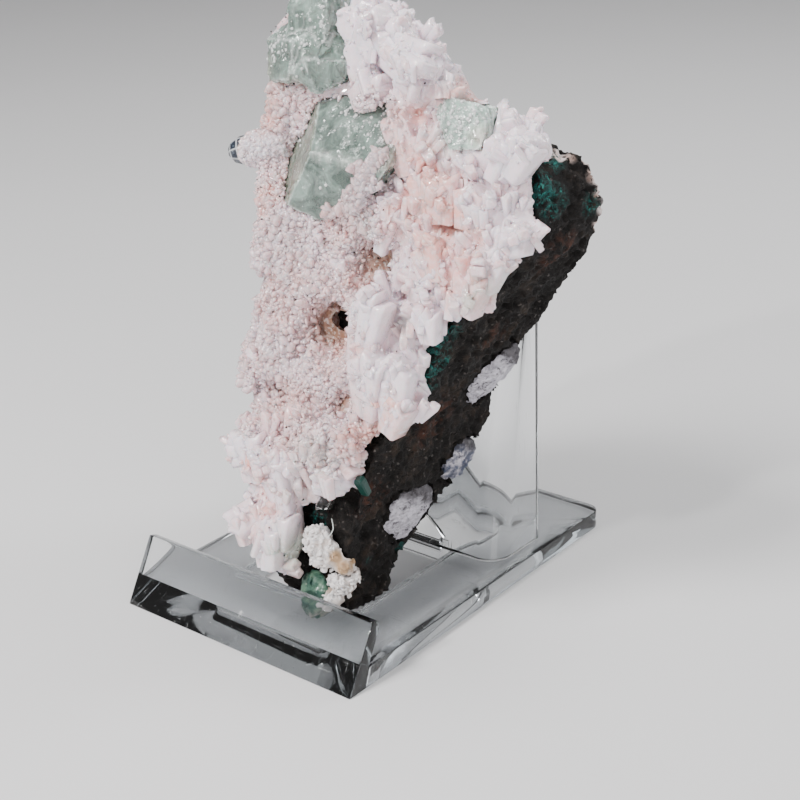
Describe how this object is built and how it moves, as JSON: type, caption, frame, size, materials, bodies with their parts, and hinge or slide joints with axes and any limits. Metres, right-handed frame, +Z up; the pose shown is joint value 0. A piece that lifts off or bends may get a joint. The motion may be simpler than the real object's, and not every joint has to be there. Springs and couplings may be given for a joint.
{
  "type": "apophyllite and stilbite specimen",
  "caption": "Green apophyllite and pale bladed stilbite crystals on dark basalt, leaning in a clear plastic display easel with a slotted base and a front lip.",
  "frame": {"origin": "middle of the footprint, on the underside of the easel's base", "axes": "+Z up; -Y is the front, where the lip is; +X is to the right along the lip"},
  "size_m": [0.12, 0.127, 0.1845],
  "materials": {
    "stand_plastic": "clear, glossy, lightly scratched",
    "basalt_rock": "rough, vesicular",
    "stilbite_crust": "pearly and sugary crystal faces",
    "green_apophyllite": "glassy, translucent, frosted in places",
    "clear_crystal": "glassy, clear",
    "pale_fill": "fibrous, dull",
    "white_knob": "bladed, pearly",
    "green_knob": "glassy, rounded"
  },
  "bodies": {
    "root": {"stand_base": "stand_plastic", "back_support": "stand_plastic", "basalt": "basalt_rock", "crystal_crust": "stilbite_crust", "apophyllite_upper": "green_apophyllite", "apophyllite_middle": "green_apophyllite", "apophyllite_side": "green_apophyllite", "clear_rod_crystal": "clear_crystal", "fill_long": "pale_fill", "fill_blue": "pale_fill", "fill_broad": "pale_fill", "knob_white": "white_knob", "knob_green": "green_knob", "knob_bladed": "white_knob"}
  },
  "joints": []
}
